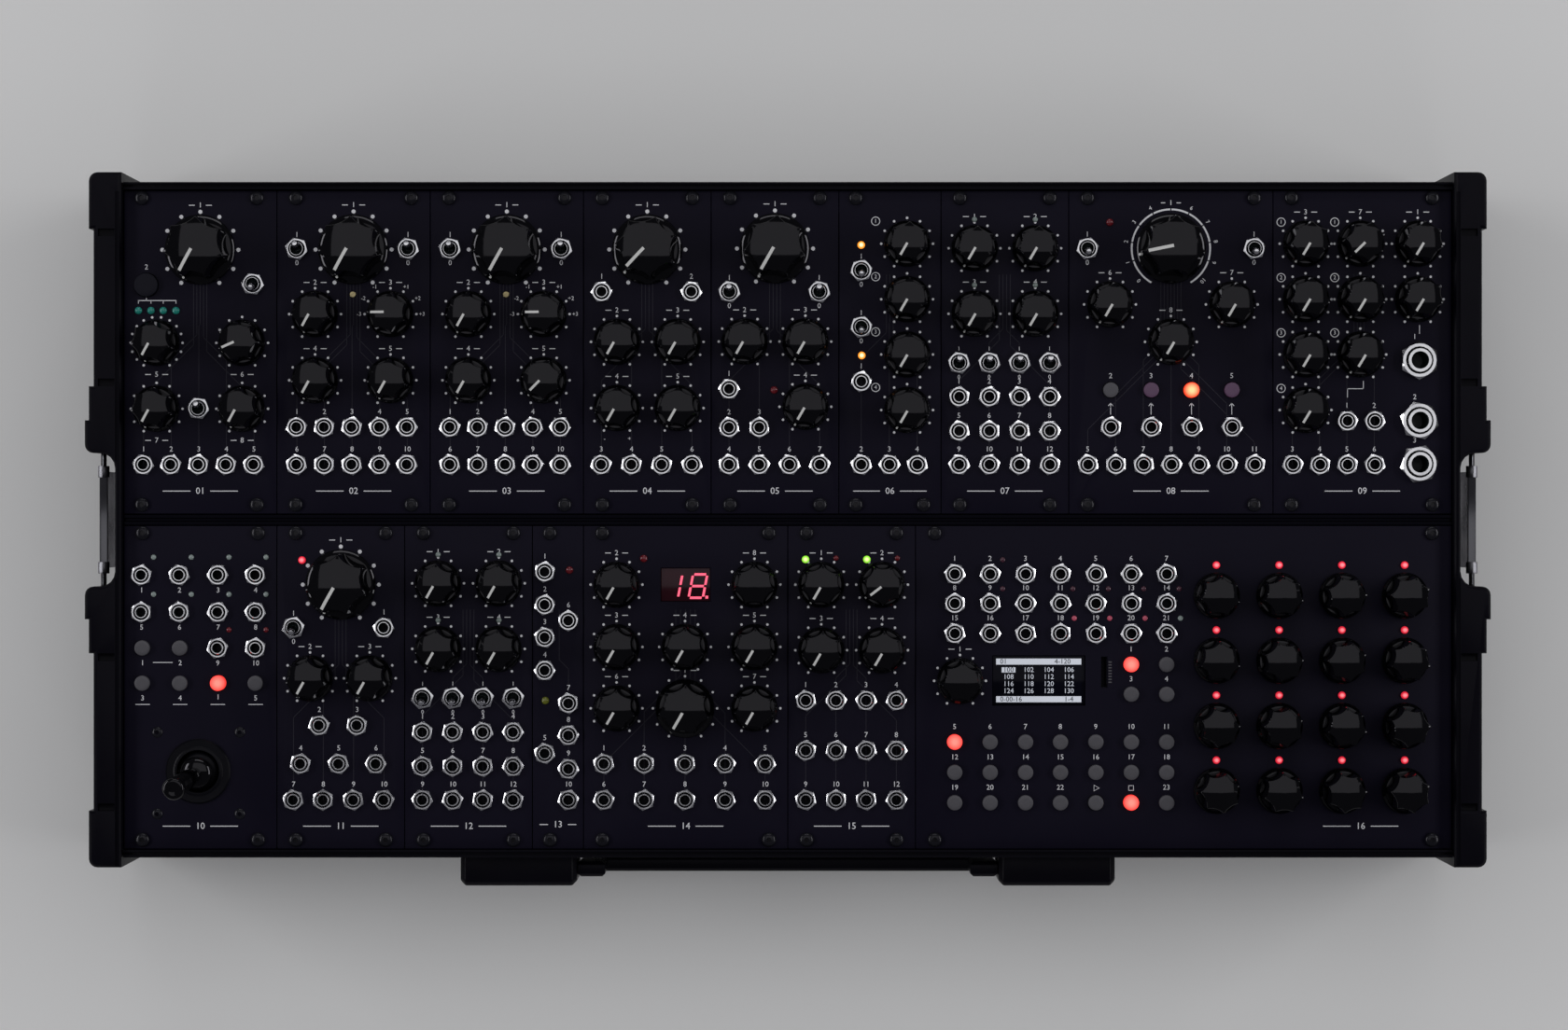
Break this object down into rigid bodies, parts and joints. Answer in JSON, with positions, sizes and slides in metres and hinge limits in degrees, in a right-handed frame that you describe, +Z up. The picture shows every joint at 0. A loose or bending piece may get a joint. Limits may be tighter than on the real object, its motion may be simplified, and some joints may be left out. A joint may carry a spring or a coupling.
{
  "type": "modular synthesizer",
  "caption": "Two-row modular synthesizer in an open travel case, with knobs, patch sockets, switches, a joystick, a step sequencer, latches and a carrying handle.",
  "frame": {"origin": "centre of the whole object's box in plan, on the surface that the case lies on", "axes": "+X along the rows of modules to the player's right, +Y away from the player, towards the back wall, +Z up, out of the panels; the carrying handle is at -Y"},
  "size_m": [0.558, 0.2858, 0.1208],
  "materials": {
    "moulded_black": "fine moulded texture",
    "panel_paint": "satin black print",
    "knob_gloss": "polished",
    "dark_metal": "black anodised",
    "bright_nickel": "bright plating",
    "button_cap": "translucent satin",
    "circuit_board": "solder mask"
  },
  "bodies": {
    "case": {"case_tray": "moulded_black", "end_cap_left": "moulded_black", "end_cap_right": "moulded_black", "rail_back": "dark_metal", "rail_middle": "dark_metal", "rail_front": "dark_metal", "power_board": "circuit_board", "power_inlet": "moulded_black", "handle_bracket_left": "moulded_black", "handle_bracket_right": "moulded_black", "wavetable_module": "panel_paint", "oscillator_a_module": "panel_paint", "oscillator_b_module": "panel_paint", "filter_module": "panel_paint", "gate_module": "panel_paint", "envelope_module": "panel_paint", "amplifier_upper_module": "panel_paint", "delay_module": "panel_paint", "output_module": "panel_paint", "joystick_module": "panel_paint", "modulator_module": "panel_paint", "amplifier_lower_module": "panel_paint", "mixer_module": "panel_paint", "effects_module": "panel_paint", "voltage_tools_module": "panel_paint", "sequencer_module": "panel_paint"},
    "frequency_knob": {"frequency_knob": "knob_gloss"},
    "tune_knob_a": {"tune_knob_a": "knob_gloss"},
    "tune_knob_b": {"tune_knob_b": "knob_gloss"},
    "cutoff_knob": {"cutoff_knob": "knob_gloss"},
    "offset_knob": {"offset_knob": "knob_gloss"},
    "time_knob": {"time_knob": "knob_gloss"},
    "rate_knob": {"rate_knob": "knob_gloss"},
    "attack_knob": {"attack_knob": "knob_gloss"},
    "decay_knob": {"decay_knob": "knob_gloss"},
    "sustain_knob": {"sustain_knob": "knob_gloss"},
    "release_knob": {"release_knob": "knob_gloss"},
    "level_knob_upper": {"level_knob_upper": "knob_gloss"},
    "level_knob_lower": {"level_knob_lower": "knob_gloss"},
    "master_knob": {"master_knob": "knob_gloss"},
    "phones_knob": {"phones_knob": "knob_gloss"},
    "blend_knob": {"blend_knob": "knob_gloss"},
    "scale_knob": {"scale_knob": "knob_gloss"},
    "data_knob": {"data_knob": "knob_gloss"},
    "step_knob": {"step_knob": "knob_gloss"},
    "bank_button": {"bank_button": "moulded_black"},
    "hold_button": {"hold_button": "button_cap"},
    "add_button": {"add_button": "button_cap"},
    "reverse_button": {"reverse_button": "button_cap"},
    "tap_button": {"tap_button": "button_cap"},
    "channel_button": {"channel_button": "button_cap"},
    "play_button": {"play_button": "button_cap"},
    "stop_button": {"stop_button": "button_cap"},
    "coarse_toggle": {"coarse_toggle": "bright_nickel"},
    "sub_toggle": {"sub_toggle": "bright_nickel"},
    "joystick_gimbal": {"joystick_gimbal": "dark_metal"},
    "joystick_stick": {"joystick_stick": "moulded_black"},
    "handle_grip": {"handle_grip": "moulded_black"},
    "latch_left": {"latch_left": "dark_metal"},
    "latch_right": {"latch_right": "dark_metal"}
  },
  "joints": [
    {"name": "frequency_knob_turn", "type": "hinge", "parent": "case", "child": "frequency_knob", "pos_m": [-0.23368, 0.11226, 0.082], "axis": [0, 0, 1], "range_deg": [-300, 0]},
    {"name": "tune_knob_a_turn", "type": "hinge", "parent": "case", "child": "tune_knob_a", "pos_m": [-0.17272, 0.11239, 0.082], "axis": [0, 0, 1], "range_deg": [-300, 0]},
    {"name": "tune_knob_b_turn", "type": "hinge", "parent": "case", "child": "tune_knob_b", "pos_m": [-0.11176, 0.11239, 0.082], "axis": [0, 0, 1], "range_deg": [-300, 0]},
    {"name": "cutoff_knob_turn", "type": "hinge", "parent": "case", "child": "cutoff_knob", "pos_m": [-0.05588, 0.11239, 0.082], "axis": [0, 0, 1], "range_deg": [-286, 14]},
    {"name": "offset_knob_turn", "type": "hinge", "parent": "case", "child": "offset_knob", "pos_m": [-0.00508, 0.11277, 0.082], "axis": [0, 0, 1], "range_deg": [-300, 0]},
    {"name": "time_knob_turn", "type": "hinge", "parent": "case", "child": "time_knob", "pos_m": [0.1524, 0.11277, 0.082], "axis": [0, 0, 1], "range_deg": [-251, 49]},
    {"name": "rate_knob_turn", "type": "hinge", "parent": "case", "child": "rate_knob", "pos_m": [-0.1778, -0.02096, 0.082], "axis": [0, 0, 1], "range_deg": [-300, 0]},
    {"name": "attack_knob_turn", "type": "hinge", "parent": "case", "child": "attack_knob", "pos_m": [0.04747, 0.1147, 0.082], "axis": [0, 0, 1], "range_deg": [-300, 0]},
    {"name": "decay_knob_turn", "type": "hinge", "parent": "case", "child": "decay_knob", "pos_m": [0.04747, 0.0926, 0.082], "axis": [0, 0, 1], "range_deg": [-300, 0]},
    {"name": "sustain_knob_turn", "type": "hinge", "parent": "case", "child": "sustain_knob", "pos_m": [0.04747, 0.07062, 0.082], "axis": [0, 0, 1], "range_deg": [-300, 0]},
    {"name": "release_knob_turn", "type": "hinge", "parent": "case", "child": "release_knob", "pos_m": [0.04747, 0.04852, 0.082], "axis": [0, 0, 1], "range_deg": [-300, 0]},
    {"name": "level_knob_upper_turn", "type": "hinge", "parent": "case", "child": "level_knob_upper", "pos_m": [0.07427, 0.1129, 0.082], "axis": [0, 0, 1], "range_deg": [-300, 0]},
    {"name": "level_knob_lower_turn", "type": "hinge", "parent": "case", "child": "level_knob_lower", "pos_m": [-0.13909, -0.02045, 0.082], "axis": [0, 0, 1], "range_deg": [-300, 0]},
    {"name": "master_knob_turn", "type": "hinge", "parent": "case", "child": "master_knob", "pos_m": [0.25058, 0.1147, 0.082], "axis": [0, 0, 1], "range_deg": [-300, 0]},
    {"name": "phones_knob_turn", "type": "hinge", "parent": "case", "child": "phones_knob", "pos_m": [0.25058, 0.0926, 0.082], "axis": [0, 0, 1], "range_deg": [-300, 0]},
    {"name": "blend_knob_turn", "type": "hinge", "parent": "case", "child": "blend_knob", "pos_m": [-0.04088, -0.07018, 0.082], "axis": [0, 0, 1], "range_deg": [-300, 0]},
    {"name": "scale_knob_turn", "type": "hinge", "parent": "case", "child": "scale_knob", "pos_m": [0.01331, -0.02096, 0.082], "axis": [0, 0, 1], "range_deg": [-300, 0]},
    {"name": "data_knob_turn", "type": "hinge", "parent": "case", "child": "data_knob", "pos_m": [0.06851, -0.05926, 0.082], "axis": [0, 0, 1], "continuous": true},
    {"name": "step_knob_turn", "type": "hinge", "parent": "case", "child": "step_knob", "pos_m": [0.1705, -0.02533, 0.082], "axis": [0, 0, 1], "continuous": true},
    {"name": "bank_button_press", "type": "slide", "parent": "case", "child": "bank_button", "axis": [0, 0, 1], "range_m": [-0.001, 0], "stiffness_N_per_m": 800},
    {"name": "hold_button_press", "type": "slide", "parent": "case", "child": "hold_button", "axis": [0, 0, 1], "range_m": [-0.001, 0], "stiffness_N_per_m": 800},
    {"name": "add_button_press", "type": "slide", "parent": "case", "child": "add_button", "axis": [0, 0, 1], "range_m": [-0.001, 0], "stiffness_N_per_m": 800},
    {"name": "reverse_button_press", "type": "slide", "parent": "case", "child": "reverse_button", "axis": [0, 0, 1], "range_m": [-0.001, 0], "stiffness_N_per_m": 800},
    {"name": "tap_button_press", "type": "slide", "parent": "case", "child": "tap_button", "axis": [0, 0, 1], "range_m": [-0.001, 0], "stiffness_N_per_m": 800},
    {"name": "channel_button_press", "type": "slide", "parent": "case", "child": "channel_button", "axis": [0, 0, 1], "range_m": [-0.001, 0], "stiffness_N_per_m": 800},
    {"name": "play_button_press", "type": "slide", "parent": "case", "child": "play_button", "axis": [0, 0, 1], "range_m": [-0.001, 0], "stiffness_N_per_m": 800},
    {"name": "stop_button_press", "type": "slide", "parent": "case", "child": "stop_button", "axis": [0, 0, 1], "range_m": [-0.001, 0], "stiffness_N_per_m": 800},
    {"name": "coarse_toggle_flip", "type": "hinge", "parent": "case", "child": "coarse_toggle", "pos_m": [-0.21277, 0.09864, 0.081], "axis": [1, 0, 0], "range_deg": [-24, 0]},
    {"name": "sub_toggle_flip", "type": "hinge", "parent": "case", "child": "sub_toggle", "pos_m": [-0.23441, 0.04917, 0.081], "axis": [1, 0, 0], "range_deg": [0, 24]},
    {"name": "joystick_up_down", "type": "hinge", "parent": "case", "child": "joystick_gimbal", "pos_m": [-0.23447, -0.09524, 0.0798], "axis": [1, 0, 0], "range_deg": [-26, 14]},
    {"name": "joystick_left_right", "type": "hinge", "parent": "joystick_gimbal", "child": "joystick_stick", "pos_m": [-0.23447, -0.09524, 0.0798], "axis": [0, 0.9945, 0.1045], "range_deg": [-15, 25]},
    {"name": "handle_swing", "type": "hinge", "parent": "case", "child": "handle_grip", "pos_m": [0, -0.13628, 0.056], "axis": [1, 0, 0], "range_deg": [-95, 0]},
    {"name": "latch_left_swing", "type": "hinge", "parent": "case", "child": "latch_left", "pos_m": [-0.27356, 0.00485, 0.0742], "axis": [0, 1, 0], "range_deg": [0, 110]},
    {"name": "latch_right_swing", "type": "hinge", "parent": "case", "child": "latch_right", "pos_m": [0.27356, 0.00485, 0.0742], "axis": [0, 1, 0], "range_deg": [-110, 0]}
  ]
}
